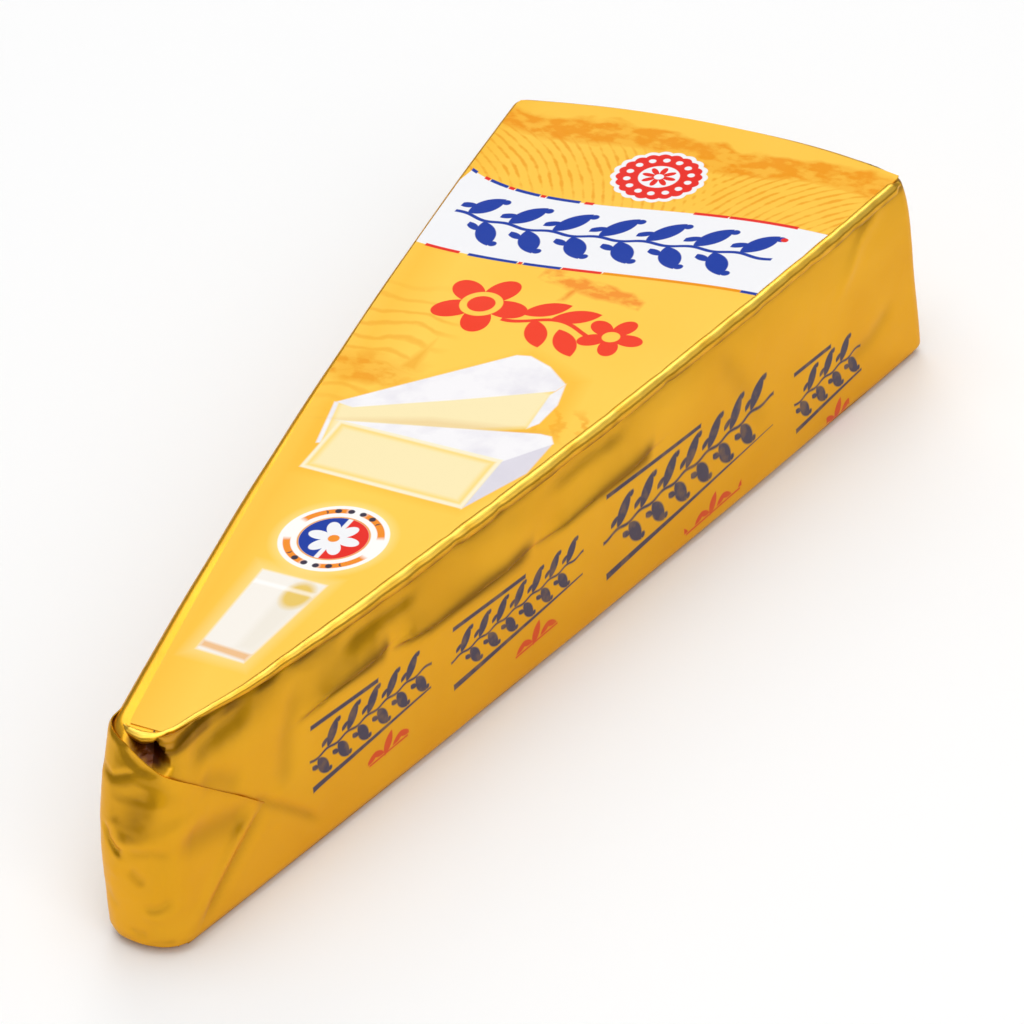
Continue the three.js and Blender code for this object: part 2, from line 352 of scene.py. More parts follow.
def face_outwards(piece):
    """Turn every face so that it looks out of the piece."""
    bpy.ops.object.mode_set(mode="EDIT")
    bpy.ops.mesh.select_all(action="SELECT")
    bpy.ops.mesh.normals_make_consistent(inside=False)
    bpy.ops.object.mode_set(mode="OBJECT")


def thicken(piece, wall, towards=-1):
    """Give a sheet its wall, inwards for -1 and outwards for 1."""
    solid = piece.modifiers.new("wall", "SOLIDIFY")
    solid.thickness = wall * MM
    solid.offset = towards
    bpy.ops.object.modifier_apply(modifier=solid.name)


def finish(piece, node, smooth_angle=50):
    """Shade a finished piece, and tie it to the frame."""
    bpy.ops.object.shade_smooth_by_angle(angle=math.radians(smooth_angle))
    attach(piece, "root")
    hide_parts(node)
    low, high = (np.array(piece.bound_box).min(0) / MM, np.array(piece.bound_box).max(0) / MM)
    print(f"{piece.name}: {len(piece.data.polygons)} faces, {low.round(1)} to {high.round(1)} mm")


# %% The rings of the wrapper, from the seam on the base to the middle of the top
BASE_LIFT = 0.55
EDGE_ROUND = 1.1
EDGE_RINGS = 5
PLEAT_BAND = (19.4, 22.8)
SEAM_MARGIN = 14
FOIL_WALL = 0.12
POCKET_FIRMNESS = 2.5

seam = [("base", BASE_LIFT, EDGE_ROUND, share) for share in (1, 0.85, 0.6, 0.35, 0.15, 0.05)]
turns = np.linspace(0, math.pi / 2, EDGE_RINGS)
lower_edge = [("base", BASE_LIFT + EDGE_ROUND * (1 - math.cos(a)), EDGE_ROUND * (1 - math.sin(a)), 0)
              for a in turns]
low_wall = np.linspace(BASE_LIFT + EDGE_ROUND, PLEAT_BAND[0], 26)[1:]
pleat_wall = np.linspace(*PLEAT_BAND, 14)[1:]
high_wall = np.linspace(PLEAT_BAND[1], HEIGHT - EDGE_ROUND, 12)[1:-1]
wall_z = np.concatenate((low_wall, pleat_wall, high_wall))
wall = [("wall", z, 0, 0) for z in wall_z]
upper_edge = [("top", HEIGHT - EDGE_ROUND * (1 - math.cos(a)), EDGE_ROUND * (1 - math.sin(a)), 0)
              for a in turns[::-1]]
top = [("top", HEIGHT, EDGE_ROUND, share) for share in (0.04, 0.12, 0.3, 0.6, 0.9)]
RINGS = seam + lower_edge + wall + upper_edge + top
print(f"{len(RINGS)} rings")


# %% Build the wrapper
def towards_middle(points, share):
    """An outline drawn in towards a narrow line along the middle of the wedge."""
    middle = points * (0.012, 1)
    middle[:, 1] = np.clip(middle[:, 1], -LENGTH / 2 + SEAM_MARGIN, LENGTH / 2 - SEAM_MARGIN)
    return points + (middle - points) * share


def wrapper_points():
    """Every ring's points, with the creases pressed in, and where each is on the unrolled wall."""
    rings, ways = [], []
    for part, z, pull, share in RINGS:
        points = outline(z / HEIGHT)
        out = outwards(points)
        way, _ = way_round(points)
        level = np.full(len(way), z)
        firm = math.sin(math.pi / 2 * min(1, max(0, 1 - pull / EDGE_ROUND)))
        pressed_in = pocket_depth(way, level) * min(1, firm * POCKET_FIRMNESS)
        move = (crease_height(way, level) + uneven(way, level)) * firm - pressed_in
        points = towards_middle(points + out * (move - pull)[:, None], share)
        rings.append(np.column_stack((points, level)))
        ways.append(np.column_stack((way, level + (HEIGHT * share if part == "top" else -HEIGHT * share))))
    return np.array(rings), np.array(ways)


def lay_out(piece, column_of, ring_of, ways):
    """Store the unrolled wall as the piece's own map, so that a print can follow the foil."""
    layer = piece.data.uv_layers.new(name="unrolled")
    for face in piece.data.polygons:
        corners = list(face.loop_indices)
        spots = [piece.data.loops[c].vertex_index for c in corners]
        around = np.array([ways[ring_of[s], column_of[s]][0] for s in spots])
        if around.max() - around.min() > girth / 2:
            around = np.where(around < 0, around + girth, around)
        for corner, spot, u in zip(corners, spots, around):
            layer.data[corner].uv = (u * MM, ways[ring_of[spot], column_of[spot]][1] * MM)


rings, ways = wrapper_points()
foil_wrap, column_of, ring_of = extruded_rings("foil_wrap", COLUMNS, len(RINGS))
put(foil_wrap, rings[ring_of, column_of])
close_ring(foil_wrap, ring_of, len(RINGS) - 1)
lay_out(foil_wrap, column_of, ring_of, ways)
face_outwards(foil_wrap)
thicken(foil_wrap, FOIL_WALL)
finish(foil_wrap, "foil_wrapper")

# %% [markdown]
# ## The cheese inside
# Soft cheese takes the shape of its wrapper, so the cheese follows the creased wall a little
# inside it, pocket and all. It needs fewer columns than the foil, because cheese has no sharp
# folds. Its top and base are closed by one face each.

# %% Build the cheese
CHEESE_GAP = 0.4
CHEESE_ROUND = 1.6
CHEESE_STEP = 2
POCKET_CLEAR = 1.45

cheese_turns = np.linspace(0, math.pi / 2, 5)
cheese_low_z, cheese_high_z = BASE_LIFT + CHEESE_GAP, HEIGHT - CHEESE_GAP
edge_in = CHEESE_ROUND * (1 - np.sin(cheese_turns))
edge_up = CHEESE_ROUND * (1 - np.cos(cheese_turns))
side_z = np.linspace(cheese_low_z + CHEESE_ROUND, cheese_high_z - CHEESE_ROUND, 24)[1:-1]
cheese_z = np.concatenate((cheese_low_z + edge_up, side_z, cheese_high_z - edge_up[::-1]))
cheese_in = np.concatenate((edge_in, 0 * side_z, edge_in[::-1])) + CHEESE_GAP
cheese_rings = []
for z, pull in zip(cheese_z, cheese_in):
    points = outline(z / HEIGHT)
    way, _ = way_round(points)
    level = np.full(len(way), z)
    move = crease_height(way, level) + uneven(way, level) - POCKET_CLEAR * pocket_depth(way, level) - pull
    ring = points + outwards(points) * move[:, None]
    cheese_rings.append(np.column_stack((ring, level))[::CHEESE_STEP])
cheese_rings = np.array(cheese_rings)
cheese, column_of, ring_of = extruded_rings("soft_cheese", len(cheese_rings[0]), len(cheese_z))
put(cheese, cheese_rings[ring_of, column_of])
close_ring(cheese, ring_of, 0)
close_ring(cheese, ring_of, len(cheese_z) - 1)
face_outwards(cheese)
finish(cheese, "cheese_wedge", 40)

# %% [markdown]
# ## The flap over the nose
# The flap is a second layer of the same foil. A flat grid is laid on the unrolled wall between
# the flap's free edge and its fold, and then wrapped onto the wall. It stands off a little at its
# free edge, where the foil curls, and sinks into the wall where the two layers become one.

# %% Find a place on the wrapped wall
LEVELS = np.linspace(0, 1, 41)
LEVEL_OUTLINES = [outline(level) for level in LEVELS]
LEVEL_TABLE = []
for points in LEVEL_OUTLINES:
    way, _ = way_round(points)
    order = np.argsort(way)
    LEVEL_TABLE.append((way[order], points[order], outwards(points)[order]))


def on_wall(u, z, lift):
    """Points on the creased wall, lifted off it, for arrays of places on the unrolled strip."""
    move = crease_height(u, z) + uneven(u, z) - pocket_depth(u, z) + lift
    position = np.clip(z / HEIGHT, 0, 1) * (len(LEVELS) - 1)
    found = []
    for around, height, out, place in zip(u, z, move, position):
        low = min(int(place), len(LEVELS) - 2)
        mix = place - low
        row = []
        for level in (low, low + 1):
            way, points, normal = LEVEL_TABLE[level]
            row.append([np.interp(around, way, axis) for axis in (*points.T, *normal.T)])
        x, y, nx, ny = np.array(row[0]) * (1 - mix) + np.array(row[1]) * mix
        edge = min(1, (HEIGHT - height) / EDGE_ROUND, (height - BASE_LIFT) / EDGE_ROUND)
        pull = EDGE_ROUND * (1 - math.sqrt(max(0, 1 - (1 - max(0, edge)) ** 2)))
        found.append((x + nx * (out - pull), y + ny * (out - pull), height))
    return np.array(found)


def line_height(u, line):
    """The height of a drawn line at each place round the wall."""
    return np.interp(u, [p[0] for p in line], [p[1] for p in line])


# %% Build the flap
FLAP_LEFT, FLAP_RIGHT = -9.5, FLAP_TIP[0]
FLAP_LIFT, FLAP_CURL, FLAP_WALL = 0.12, 0.42, 0.16
FLAP_SPAN = 0.92

flap, across, upward = flat_grid("nose_flap", 96, 72)
around = FLAP_LEFT + (FLAP_RIGHT - FLAP_LEFT) * across
upper = line_height(around, FLAP_EDGE)
lower = np.where(around > FLAP_FOLD[0][0], line_height(around, FLAP_FOLD), FLAP_FOLD[0][1])
rise = upward ** 0.8
height = lower + (upper - lower) * rise
from_edge = upper - height
sunk = np.clip((around - FLAP_LEFT) / 2.5, 0, 1) * np.clip((height - 0.6) / 1.2, 0, 1)
lift = (FLAP_LIFT + FLAP_CURL * np.exp(-from_edge / 0.9) + FLAP_WALL) * sunk - (1 - sunk) * 0.1
put(flap, on_wall(around, height, lift + pocket_depth(around, height) * FLAP_SPAN))
layer = flap.data.uv_layers[0]
layer.name = "unrolled"
for loop in flap.data.loops:
    layer.data[loop.index].uv = (around[loop.vertex_index] * MM, height[loop.vertex_index] * MM)
thicken(flap, FLAP_WALL)
finish(flap, "foil_wrapper")

# %% [markdown]
# ## The rolled edge
# Where the sheet's edges meet, along one side of the top and round the nose, they are rolled up
# together into a bead. A curve with a bevel would give a perfect tube. The real bead is kinked,
# pinched and flattened by fingers, so it is a circle extruded ring by ring, and each ring is
# placed on the path with its own size, squash and shift. Each table below says how something
# changes along the bead, by the way round the wall from the middle of the nose.

# %% The path of the bead, its thickness and its pinches
ROLL_RADIUS = 1.12
ROLL_SET_IN = 0.8
ROLL_RINGS = 560
ROLL_COLUMNS = 18
ROLL_CREST = math.radians(78)
BEAD_START = -4.6
PINCHES = [(43, 1.2, 0.10), (58, 1.0, 0.22), (67, 1.1, 0.24), (92, 1.6, 0.10), (104, 1.0, 0.16),
           (127, 1.4, 0.12), (139, 1.2, 0.16), (150, 0.9, 0.12), (163, 0.9, 0.26), (166.5, 0.8, 0.2),
           (168.6, 0.5, 0.3)]
THICKNESS = [(BEAD_START, 0.40), (-3.2, 0.62), (-1.6, 0.70), (0.4, 0.92), (1.8, 0.78), (3.2, 0.48),
             (4.6, 0.36), (7.0, 0.40), (12.0, 0.48), (20.0, 0.70), (33.0, 0.98), (46.0, ROLL_RADIUS),
             (180.0, ROLL_RADIUS)]
DRAWN_IN = [(-5.0, 0.4), (-3.0, 0.5), (0.0, 0.5), (3.0, 0.7), (5.0, 1.15), (7.0, 1.1), (10.5, 0.9),
            (14.0, 0.45), (18.0, 0.0)]


def by_way(way, table):
    """Look up how a size changes along the bead."""
    return np.interp(way, [row[0] for row in table], [row[1] for row in table])


def at_rings(values):
    """Values known at the outline's columns, worked out at the bead's own rings."""
    return np.column_stack([np.interp(path_way, roll_way, axis) for axis in values[first:last].T])


top_outline = outline(1)
top_out = outwards(top_outline)
top_way, _ = way_round(top_outline)
first = int(np.argmin(np.abs(top_way - BEAD_START)))
last = CORNER_COLUMNS * 2 + SIDE_COLUMNS[0] + SIDE_COLUMNS[1]
roll_way = top_way[first:last]
path_way = np.linspace(roll_way[0], roll_way[-1], ROLL_RINGS)
path, path_out = at_rings(top_outline - top_out * ROLL_SET_IN), at_rings(top_out)
print(f"the bead runs {roll_way[-1] - roll_way[0]:.0f} mm")

# %% Build the bead
roll, section, station = extruded_rings("rolled_edge", ROLL_COLUMNS, ROLL_RINGS)
pinched = sum(depth * np.exp(-((path_way - place) / reach) ** 2) for place, reach, depth in PINCHES)
wander = np.array([noise.noise(Vector((s / 11, 0.3, 1.7))) for s in path_way])
ripple = np.array([noise.noise(Vector((s / 2.6, 5.3, 2.2))) for s in path_way])
size = by_way(path_way, THICKNESS) * (1 + 0.10 * wander + 0.05 * ripple - 0.8 * pinched)
ends = np.clip(np.minimum(np.arange(ROLL_RINGS), np.arange(ROLL_RINGS)[::-1]) / 6, 0.25, 1) ** 0.5
angle = 2 * math.pi * section / ROLL_COLUMNS
reach_out = np.cos(angle) * size[station] * ends[station]
reach_up = np.sin(angle) * size[station] * ends[station]
flat_under = np.where(reach_up < 0, 0.82, 1.0)
middle_z = HEIGHT + ROLL_RISE - size - 0.1 + 0.05 * wander - 0.25 * pinched
shift_out = 0.12 * wander + 0.10 * ripple - by_way(path_way, DRAWN_IN)
centre = path[station] + path_out[station] * (shift_out[station] + reach_out)[:, None]
put(roll, np.column_stack((centre, middle_z[station] + reach_up * flat_under)))
close_ring(roll, station, 0)
close_ring(roll, station, ROLL_RINGS - 1)
face_outwards(roll)
finish(roll, "foil_wrapper", 70)

# %% [markdown]
# Shade is painted browner where the bead turns under, and a highlight paler along its crest. The
# bead's own vertices carry both in one mark: above zero painted shade, below zero painted highlight.

# %% Paint shade on the bead's underside and a highlight on its crest
# Painted shade on the bead's lower, outer side, and a painted highlight along its crest.
roll_painted_light = np.clip(-0.10 - 1.1 * np.sin(angle) + 0.35 * np.cos(angle) + 1.1 * ripple[station], 0, 1) * 0.9
from_crest = np.abs((angle - ROLL_CREST + math.pi) % (2 * math.pi) - math.pi)
roll_painted_light -= np.exp(-(from_crest / 0.72) ** 2) * np.clip(0.85 + 0.8 * ripple[station], 0, 1)
mark = roll.data.attributes.new("painted_shade_and_highlight", "FLOAT", "POINT")
mark.data.foreach_set("value", roll_painted_light.astype(np.float32))

# %% [markdown]
# ## The folds underneath
# On its underside the sheet is folded like a parcel: a short flap from the nose and one from the
# rind end come first, then the two long flaps meet and overlap along the middle. Each is a flat
# grid placed between its own edges, a fraction of a millimetre below the one it covers.

# %% A fold of foil laid flat on the underside
FOLD_WALL = 0.1
END_FOLD_INSET = 1.4


def side_x(y, side, level=0):
    """Where one long edge is, at places along the wedge, on the base or at another level."""
    points = outline(level)
    edge = points[points[:, 0] * side > 0]
    edge = edge[np.argsort(edge[:, 1])]
    return np.interp(y, edge[:, 1], edge[:, 0])


def underside_fold(name, columns, rows, place, z, seed):
    """A thin uneven flap; place turns a vertex's shares into its x and y."""
    piece, across, along = flat_grid(name, columns, rows)
    x, y = place(across, along)
    bumps = np.array([noise.noise(Vector((a / 8, b / 11, seed))) for a, b in zip(x, y)])
    fine = np.array([noise.ridged_multi_fractal(Vector((a / 9, b / 9, seed)), 0.9, 2.1, 3, 0.9, 2.0)
                     for a, b in zip(x, y)])
    put(piece, np.column_stack((x, y, z + 0.05 * bumps + 0.03 * (fine - 1))))
    thicken(piece, FOLD_WALL, 0)
    finish(piece, "foil_wrapper", 60)
    return piece


def long_fold(side, overlap):
    """Place for a long flap: from its own edge to a little past the middle."""
    def place(across, along):
        y = -LENGTH / 2 + 3.5 + (LENGTH - 8.5) * along
        narrower = np.clip(2 - 2 * np.abs(along - 0.5) * 1.7, 0.2, 1)
        reach = (overlap + 1.2 * np.sin(along * 9 + side)) * narrower
        outer = side_x(y, side) - side * EDGE_ROUND * 0.9
        return outer + (-side * reach - outer) * across, y
    return place


def end_fold(y_edge, y_inner, narrowing):
    """Place for an end flap: from the edge inwards, getting narrower."""
    def place(across, along):
        y = y_edge + (y_inner - y_edge) * along
        within = np.clip(y, -LENGTH / 2 + 3, LENGTH / 2 - 6)
        half = (np.abs(side_x(within, 1)) - END_FOLD_INSET) * (1 - narrowing * along)
        bow = RIND_BOW * 0.8 * (1 - (2 * across - 1) ** 2) * (1 - along) if y_edge > 0 else 0
        return half * (2 * across - 1), y + bow
    return place


FIRST_LAYER, SECOND_LAYER, THIRD_LAYER = BASE_LIFT - 0.12, BASE_LIFT - 0.27, BASE_LIFT - 0.42
from_nose = end_fold(-LENGTH / 2 + 2.2, -LENGTH / 2 + 30, 0.55)
from_rind = end_fold(LENGTH / 2 - 5.6, LENGTH / 2 - 36, 0.75)
underside_fold("nose_fold", 24, 40, from_nose, FIRST_LAYER, 1.0)
underside_fold("rind_fold", 70, 44, from_rind, FIRST_LAYER, 2.0)
underside_fold("left_fold", 44, 170, long_fold(-1, 3.2), SECOND_LAYER, 3.0)
underside_fold("right_fold", 44, 170, long_fold(1, 4.4), THIRD_LAYER, 4.0)

# %% [markdown]
# ## The printed label
# The label is a thin laminate laid on the flat top. It is a grid stretched between the label's
# four edges, very slightly uneven, as a stuck sheet is. A strip of bare foil shows beside its
# left edge near the nose, and narrows towards the rind end.

# %% Build the label
label_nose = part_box("top_label")[0].y / MM
LABEL_WALL, LABEL_LIFT = 0.12, 0.11
PLAIN_EDGE_NOSE, PLAIN_EDGE_RIND = 2.6, 0.9
ROLL_EDGE = ROLL_SET_IN + 0.35
NOSE_CORNER_Y, NOSE_CORNER_WAY = -77.4, 5.0

label, across, along = flat_grid("printed_label", 72, 168)
nose_y = label_nose - 0.6
rind_y = LENGTH / 2 - RIND_BOW - 0.9
y = nose_y + (rind_y - nose_y) * along
plain = PLAIN_EDGE_NOSE + (PLAIN_EDGE_RIND - PLAIN_EDGE_NOSE) * np.clip(along * 1.7, 0, 1)
left = side_x(y, -1, level=1) + plain
bead_way = y - NOSE_CORNER_Y + NOSE_CORNER_WAY
right = side_x(y, 1, level=1) - ROLL_EDGE - by_way(bead_way, DRAWN_IN)
x = left + (right - left) * across
y = y + RIND_BOW * (1 - (2 * across - 1) ** 2) * along ** 8
soft = np.array([noise.noise(Vector((a / 17, b / 23, 6.2))) for a, b in zip(x, y)])
put(label, np.column_stack((x, y, HEIGHT + LABEL_LIFT + 0.05 * soft)))
thicken(label, LABEL_WALL)
finish(label, "top_label")

# %% [markdown]
# # Finishes
# All print on the wrapper is drawn by its material. A print has no thickness, so meshes for it
# would be wrong, and a formula stays sharp at any distance. To keep the formulas readable, a
# small helper wraps Math nodes, so that a mask is written as arithmetic on millimetres.

# %% A number that changes over a surface
class Field:
    """One output of a node tree, with plain arithmetic that adds Math nodes."""

    def __init__(self, tree, socket):
        self.tree, self.socket = tree, socket

    def math(self, operation, *others, clamp=False):
        terms = dict(enumerate((self, *others)))
        node = add_node(self.tree, "Math", terms, operation=operation, use_clamp=clamp)
        return Field(self.tree, node.outputs[0])

    def __add__(self, other):
        return self.math("ADD", other)

    def __sub__(self, other):
        return self.math("SUBTRACT", other)

    def __mul__(self, other):
        return self.math("MULTIPLY", other)

    def __truediv__(self, other):
        return self.math("DIVIDE", other)

    def __rsub__(self, other):
        return self.math("MULTIPLY_ADD", -1.0, other)

    def __abs__(self):
        return self.math("ABSOLUTE")

    def least(self, *others):
        result = self
        for other in others:
            result = result.math("MINIMUM", other)
        return result

    def most(self, *others):
        result = self
        for other in others:
            result = result.math("MAXIMUM", other)
        return result

    def sine(self):
        return self.math("SINE")

    def far(self, other):
        """Length of the line whose two legs are this and other."""
        return (self * self + other * other).math("SQRT")

    def inside(self, soft=0.14):
        """1 where this distance is below zero, 0 where it is above, with a soft border."""
        return self.math("MULTIPLY_ADD", -1 / soft, 0.5, clamp=True)

    def blend(self, low, high):
        """0 below low, 1 above high, and a straight change between them."""
        return self.math("MULTIPLY_ADD", 1 / (high - low), -low / (high - low), clamp=True)



def add_node(tree, kind, inputs, **settings):
    """Add a node with its settings; each input is given as a value, a field or another output."""
    node = tree.nodes.new("ShaderNode" + kind)
    for name, value in settings.items():
        setattr(node, name, value)
    for name, value in inputs.items():
        source = value.socket if isinstance(value, Field) else value
        if isinstance(source, bpy.types.NodeSocket):
            tree.links.new(source, node.inputs[name])
        else:
            node.inputs[name].default_value = source
    return node


def ink(red, green, blue):
    """A printed colour, given in the usual 0 to 255, as the light values that a shader takes."""
    values = [c / 255 for c in (red, green, blue)]
    return (*[c / 12.92 if c <= 0.04045 else ((c + 0.055) / 1.055) ** 2.4 for c in values], 1)


def fields_of(tree, vector, axes):
    """Some of a vector's axes, each as its own field in millimetres."""
    split = add_node(tree, "SeparateXYZ", {0: vector})
    return [Field(tree, split.outputs[axis]) / MM for axis in axes]


def noise_field(tree, vector, scale, detail=2.0, stretch=(1, 1, 1)):
    """A soft random field around 0.5 on the given coordinates."""
    mapping = add_node(tree, "Mapping", {"Scale": stretch, "Vector": vector})
    node = add_node(tree, "TexNoise", {"Scale": scale, "Detail": detail, "Vector": mapping.outputs[0]})
    return Field(tree, node.outputs["Fac"])


def over(tree, colour, mask, new_colour):
    """Lay a new colour, or another colour output, over a colour where the mask is 1."""
    mix = tree.nodes.new("ShaderNodeMix")
    mix.data_type = "RGBA"
    for name, value in (("A", colour), ("B", new_colour)):
        socket = [s for s in mix.inputs if s.name == name and s.type == "RGBA"][0]
        if isinstance(value, tuple):
            socket.default_value = value
        else:
            tree.links.new(value, socket)
    tree.links.new(mask.socket, mix.inputs[0])
    return [s for s in mix.outputs if s.type == "RGBA"][0]


def turned(x, y, middle, degrees):
    """Coordinates about a middle, turned by an angle."""
    c, s = math.cos(math.radians(degrees)), math.sin(math.radians(degrees))
    dx, dy = x - middle[0], y - middle[1]
    return dx * c + dy * s, dy * c - dx * s


def leaf(x, y, length, width):
    """Distance to a pointed leaf that lies along x: two arcs that meet at both tips."""
    radius = (length ** 2 + width ** 2) / (4 * width)
    return x.far(abs(y) + (radius - width / 2)) - radius


def panel(x, y, corners):
    """Distance to a flat shape with straight sides; corners run anticlockwise and bulge outwards."""
    sides = []
    for (x0, y0), (x1, y1) in zip(corners, corners[1:] + corners[:1]):
        length = math.hypot(x1 - x0, y1 - y0)
        nx, ny = (y1 - y0) / length, (x0 - x1) / length
        sides.append(x * nx + y * ny - (x0 * nx + y0 * ny))
    return sides[0].most(*sides[1:])


def blossom(x, y, petals, inner, outer):
    """Distance to a flower with round petals."""
    angle = y.math("ARCTAN2", x)
    wave = abs((angle * (petals / 2)).math("COSINE"))
    return x.far(y) - (wave * (outer - inner) + inner)


def new_group(name, inputs, output):
    """An empty shader node group: its inputs, each a number or None for a vector, and one output."""
    tree = bpy.data.node_groups.new(name, "ShaderNodeTree")
    for label_text, value in inputs:
        kind = "NodeSocketVector" if value is None else "NodeSocketFloat"
        socket = tree.interface.new_socket(label_text, in_out="INPUT", socket_type=kind)
        if value is not None:
            socket.default_value = value
    tree.interface.new_socket(output, in_out="OUTPUT", socket_type="NodeSocketFloat")
    entry, result = tree.nodes.new("NodeGroupInput"), tree.nodes.new("NodeGroupOutput")
    return tree, [Field(tree, entry.outputs[name]) for name, _ in inputs], result


# %% [markdown]
# ## The garland, a print that both the label and the foil carry
# A row of bold slanted leaves on a wavy stem, with berries between them, runs along the label's
# ribbon and, smaller, along both long sides. It is one node group in units of its own height, so
# that each print only says where it is and how tall. The lower row is the upper one mirrored and
# moved on by half a step.

# %% Garland group
GARLAND_STEP = 0.56
garland, (x, y, half_length, soft), result = new_group(
    "garland", [("Along", 0.0), ("Up", 0.0), ("Half Length", 1.0), ("Softness", 0.02)], "Mask")
below = y.math("LESS_THAN", 0.0)
step = (x + below * (GARLAND_STEP / 2)).math("WRAP", GARLAND_STEP / 2, -GARLAND_STEP / 2)
upright = abs(y)
shown = half_length - 0.2 - abs(x - step)
big = leaf(*turned(step, upright, (0.02, 0.26), 58), 0.54, 0.25)
small = leaf(*turned(step, upright, (-0.2, 0.18), 25), 0.26, 0.11)
berry = (step - 0.2).far(upright - 0.43) - 0.055
stem = abs(y + (x * (2 * math.pi / GARLAND_STEP)).sine() * 0.025) - 0.028
shape = big.least(small, berry).most(0.0 - shown).least(stem.most(abs(x) - half_length))
garland.links.new((shape / soft).math("MULTIPLY_ADD", -1.0, 0.5, clamp=True).socket, result.inputs["Mask"])
print("garland group:", len(garland.nodes), "nodes")


def garland_mask(tree, along, up, half_length, soft):
    """The garland's mask, with its place in units of its own height."""
    inputs = {"Along": along, "Up": up, "Half Length": half_length, "Softness": soft}
    return Field(tree, add_node(tree, "Group", inputs, node_tree=garland).outputs["Mask"])


# %% [markdown]
# ## Fine creasing, on the foil and faintly on the label
# Between the folds that are modelled, handled foil has a net of fine creases and a slight
# orange-peel ripple. They are too shallow for geometry, so one group gives their height, and
# each material bumps its surface by as much as it needs.

# %% Fine creasing group
fine, (vector, crease_scale, ripple_scale, ripple_share), result = new_group(
    "fine_creases", [("Vector", None), ("Crease Scale", 90.0), ("Ripple Scale", 260.0), ("Ripple", 0.3)],
    "Height")
BEND = 0.006
bend_noise = add_node(fine, "TexNoise", {"Scale": 60, "Vector": vector})
bent_by = {0: bend_noise.outputs["Color"], 1: (BEND, BEND, BEND), 2: vector}
shifted = add_node(fine, "VectorMath", bent_by, operation="MULTIPLY_ADD")
cells = add_node(fine, "TexVoronoi", {"Vector": shifted.outputs[0], "Scale": crease_scale}, feature="F1")
ripple_noise = add_node(fine, "TexNoise", {"Detail": 3, "Vector": vector, "Scale": ripple_scale})
facets = Field(fine, cells.outputs["Distance"])
ripples = Field(fine, ripple_noise.outputs["Fac"]) * ripple_share
fine.links.new((facets + ripples).socket, result.inputs["Height"])
print("fine creasing group:", len(fine.nodes), "nodes")


def add_fine_creases(tree, vector, scale, ripple_scale, ripple, strength, depth):
    """Bump a material's surface with the fine creases."""
    inputs = {"Vector": vector, "Crease Scale": scale, "Ripple Scale": ripple_scale, "Ripple": ripple}
    height = add_node(tree, "Group", inputs, node_tree=fine).outputs["Height"]
    bump = add_node(tree, "Bump", {"Strength": strength, "Distance": depth, "Height": height})
    tree.links.new(bump.outputs["Normal"], tree.nodes["Principled BSDF"].inputs["Normal"])


def new_finish(name):
    """A new material, its node tree, its shader, and each point's place on the object."""
    material = bpy.data.materials.new(name)
    material.use_nodes = True
    tree = material.node_tree
    place = tree.nodes.new("ShaderNodeTexCoord").outputs["Object"]
    return material, tree, tree.nodes["Principled BSDF"], place


def set_finish(piece, material):
    """Give a piece its finish, and nothing else."""
    piece.data.materials.clear()
    piece.data.materials.append(material)


# %% [markdown]
# ## Gold foil
# The foil is aluminium under a yellow lacquer: a metal with a warm colour, fairly soft
# reflections, and a thin clear coat that keeps the brightest glints nearly white. Shade is painted
# into its colour, browner in the folds and under the rolled edge, where layers of foil lie so close
# together that little light gets in, and darkest in the nose's pocket; a highlight is painted paler
# along the bead's crest. A mark on each vertex says how much. The long sides carry prints in navy
# and red, which follow the unrolled wall.

# %% Paint shade into the folds on the wrapper
FLAT_TUCK_REACH = 2.8
BEAD_SHADE_Z, BEAD_SHADE_SOFT, BEAD_SHADE_SPAN = 28.3, 0.5, (3.2, 172)


def paint_shade_marks(piece):
    """Store how much painted shade each vertex gets, by how close it lies to a fold, the bead and the pocket.
    """
    layer = piece.data.uv_layers["unrolled"]
    spots = np.zeros((len(piece.data.vertices), 2))
    for loop in piece.data.loops:
        spots[loop.vertex_index] = layer.data[loop.index].uv
    u, z = spots.T / MM
    u = np.where(u > girth / 2, u - girth, u)
    shade = np.zeros(len(u))
    # Painted shade: dark strokes along the tucks and dents, where shade falls in a fold.
    for kind, depth, reach, line in CREASES:
        distance, side, share = near_line(u, z, line)
        fade = np.clip(5 * np.minimum(share, 1 - share) + 0.1, 0, 1)
        if kind == "tuck":
            stroke = np.clip(3 * share + 0.2, 0, 1) * np.clip(12 * (1 - share), 0, 1)
            darkness = 1.9 if reach < FLAT_TUCK_REACH else 0.6
            shade += darkness * depth * stroke * np.exp(-(distance / (0.5 + 0.9 * share)) ** 2)
        elif kind == "dent":
            shade += 0.9 * depth * fade * np.exp(-(distance / (0.8 * reach)) ** 2)
    # Painted shade in a patchy band just under the rolled edge.
    patchy = np.array([noise.noise(Vector((a / 4, 2.2, 7.1))) for a in u])
    below_bead = np.exp(-((z - BEAD_SHADE_Z) / BEAD_SHADE_SOFT) ** 2)
    under_bead = np.where(z < BEAD_SHADE_Z, below_bead, 1) * (z < 33)
    under_bead = under_bead * (u > BEAD_SHADE_SPAN[0]) * (u < BEAD_SHADE_SPAN[1])
    shade += under_bead * np.clip(0.7 + 1.1 * patchy, 0.15, 1)
    shade = np.clip(shade, 0, 1)
    # Painted shade deep in the nose's pocket, which may go past 1 to a darker brown.
    if piece == foil_wrap:
        shade += pocket_depth(u, z) * (z < 31)
    mark = piece.data.attributes.new("painted_shade_and_highlight", "FLOAT", "POINT")
    mark.data.foreach_set("value", np.clip(shade, 0, 2).astype(np.float32))


for piece in (foil_wrap, flap):
    paint_shade_marks(piece)

# %% Gold foil finish
gold_foil, tree, shader, place = new_finish("gold_foil")
unrolled = add_node(tree, "UVMap", {}, uv_map="unrolled")
u, z = fields_of(tree, unrolled.outputs[0], "XY")
painted_shade_and_highlight = add_node(tree, "Attribute", {}, attribute_name="painted_shade_and_highlight")
painted_light_level = Field(tree, painted_shade_and_highlight.outputs["Fac"])

